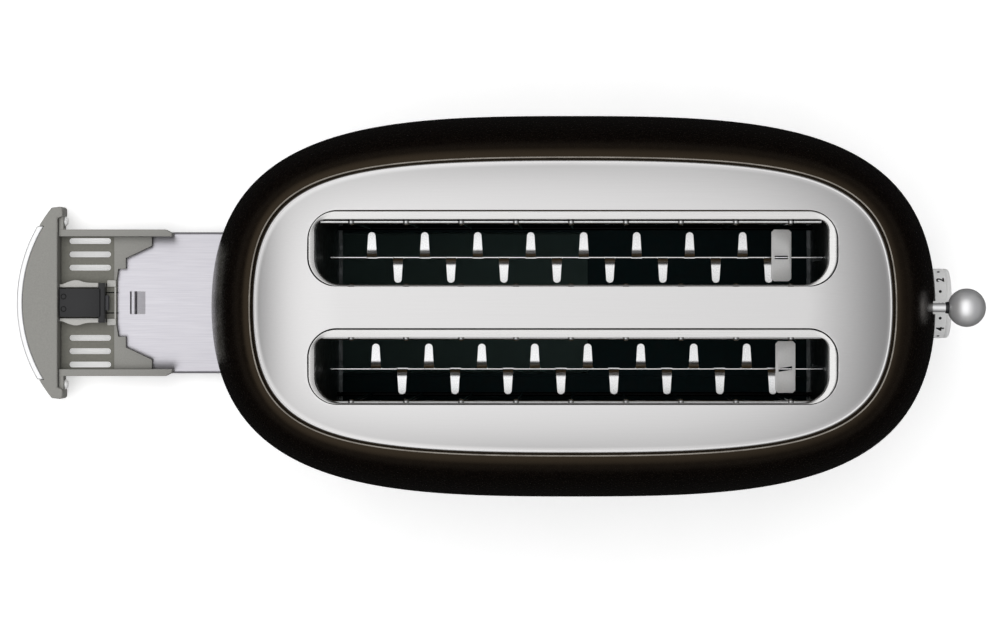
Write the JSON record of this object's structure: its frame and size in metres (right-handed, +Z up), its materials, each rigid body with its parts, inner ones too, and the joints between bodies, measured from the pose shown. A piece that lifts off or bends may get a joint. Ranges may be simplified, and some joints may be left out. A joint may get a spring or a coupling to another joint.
{
  "type": "toaster",
  "caption": "Long-slot toaster with a bulged dark shell, brushed top plate, side lever with ball, browning knob and a crumb tray drawn out at the rear end.",
  "frame": {"origin": "middle of the outer box's base, on the surface the feet stand on", "axes": "+X from the crumb tray end to the lever end, along the bread slots; +Y across the slots; +Z up"},
  "size_m": [0.5402, 0.208, 0.198],
  "materials": {
    "shell_coating": "dark semi-gloss coating",
    "brushed_plate": "brushed",
    "chrome": "polished",
    "inner_steel": "plated sheet",
    "wire_steel": "drawn wire",
    "mica": "matt board",
    "black_plastic": "moulded satin",
    "dark_plastic": "moulded satin",
    "grey_plastic": "moulded satin",
    "rubber": "matt",
    "circuit_board": "lacquered board"
  },
  "bodies": {
    "housing": {"body_shell": "shell_coating", "top_plate": "brushed_plate", "slot_liner_north": "brushed_plate", "slot_liner_south": "brushed_plate", "base_ring": "chrome", "base_cover": "black_plastic", "foot_rear_north": "rubber", "foot_rear_south": "rubber", "foot_front_north": "rubber", "foot_front_south": "rubber", "cord_bush": "rubber", "chassis_frame": "inner_steel", "rear_bulkhead": "inner_steel", "front_bulkhead": "inner_steel", "side_panel_north": "inner_steel", "side_panel_south": "inner_steel", "tray_catch": "inner_steel", "heater_north_rear": "mica", "heater_north_front": "mica", "heater_middle_rear": "mica", "heater_middle_front": "mica", "heater_south_rear": "mica", "heater_south_front": "mica", "guide_rod_north": "wire_steel", "guide_rod_south": "wire_steel", "lift_spring_north": "wire_steel", "lift_spring_south": "wire_steel", "hold_magnet": "black_plastic", "control_board": "circuit_board", "browning_control": "dark_plastic"},
    "carriage": {"carriage_plate": "inner_steel", "lifter_rail_north": "wire_steel", "lifter_rail_south": "wire_steel", "bread_stop_north": "wire_steel", "bread_stop_south": "wire_steel", "magnet_keeper": "inner_steel", "lever_arm": "chrome", "lever_ball": "chrome"},
    "guard_north_slot_north": {"guard_north_slot_north": "wire_steel"},
    "guard_north_slot_south": {"guard_north_slot_south": "wire_steel"},
    "guard_south_slot_north": {"guard_south_slot_north": "wire_steel"},
    "guard_south_slot_south": {"guard_south_slot_south": "wire_steel"},
    "knob": {"browning_knob": "chrome", "browning_shaft": "wire_steel"},
    "button_stop": {"button_stop": "dark_plastic"},
    "button_reheat": {"button_reheat": "dark_plastic"},
    "button_defrost": {"button_defrost": "dark_plastic"},
    "button_bagel": {"button_bagel": "dark_plastic"},
    "tray": {"tray_sheet": "inner_steel", "tray_carrier": "grey_plastic", "tray_fascia": "grey_plastic", "tray_trim": "chrome", "latch_body": "black_plastic", "tray_screw_north": "wire_steel", "tray_screw_south": "wire_steel"},
    "latch": {"latch_tongue": "black_plastic"}
  },
  "joints": [
    {"name": "carriage_slide", "type": "slide", "parent": "housing", "child": "carriage", "axis": [0, 0, 1], "range_m": [-0.07, 0], "stiffness_N_per_m": 40, "springref_m": 0.15, "deforming": ["lift_spring_north", "lift_spring_south"]},
    {"name": "guard_north_slot_north_lean", "type": "hinge", "parent": "housing", "child": "guard_north_slot_north", "pos_m": [0.05097, 0.0443, 0.038], "axis": [1, 0, 0], "range_deg": [0, 3.05]},
    {"name": "guard_north_slot_south_lean", "type": "hinge", "parent": "housing", "child": "guard_north_slot_south", "pos_m": [0.05097, 0.0101, 0.038], "axis": [1, 0, 0], "range_deg": [-3.05, 0]},
    {"name": "guard_south_slot_north_lean", "type": "hinge", "parent": "housing", "child": "guard_south_slot_north", "pos_m": [0.05097, -0.016, 0.038], "axis": [1, 0, 0], "range_deg": [0, 3.05]},
    {"name": "guard_south_slot_south_lean", "type": "hinge", "parent": "housing", "child": "guard_south_slot_south", "pos_m": [0.05097, -0.0502, 0.038], "axis": [1, 0, 0], "range_deg": [-3.05, 0]},
    {"name": "knob_turn", "type": "hinge", "parent": "housing", "child": "knob", "pos_m": [0.24777, 0.0015, 0.046], "axis": [1, 0, 0], "range_deg": [-80, 120]},
    {"name": "stop_press", "type": "slide", "parent": "housing", "child": "button_stop", "axis": [-1, 0, 0], "range_m": [0, 0.0015], "stiffness_N_per_m": 300, "springref_m": -0.002},
    {"name": "reheat_press", "type": "slide", "parent": "housing", "child": "button_reheat", "axis": [-1, 0, 0], "range_m": [0, 0.0015], "stiffness_N_per_m": 300, "springref_m": -0.002},
    {"name": "defrost_press", "type": "slide", "parent": "housing", "child": "button_defrost", "axis": [-1, 0, 0], "range_m": [0, 0.0015], "stiffness_N_per_m": 300, "springref_m": -0.002},
    {"name": "bagel_press", "type": "slide", "parent": "housing", "child": "button_bagel", "axis": [-1, 0, 0], "range_m": [0, 0.0015], "stiffness_N_per_m": 300, "springref_m": -0.002},
    {"name": "tray_slide", "type": "slide", "parent": "housing", "child": "tray", "axis": [1, 0, 0], "range_m": [-0.15, 0.133]},
    {"name": "latch_press", "type": "slide", "parent": "tray", "child": "latch", "axis": [-1, 0, 0], "range_m": [0, 0.0025], "stiffness_N_per_m": 500, "springref_m": -0.002}
  ],
  "couplings": [
    {"joint": "guard_north_slot_north_lean", "follows": "carriage_slide", "rad_per_m": -0.748},
    {"joint": "guard_north_slot_south_lean", "follows": "carriage_slide", "rad_per_m": 0.748},
    {"joint": "guard_south_slot_north_lean", "follows": "carriage_slide", "rad_per_m": -0.748},
    {"joint": "guard_south_slot_south_lean", "follows": "carriage_slide", "rad_per_m": 0.748}
  ]
}
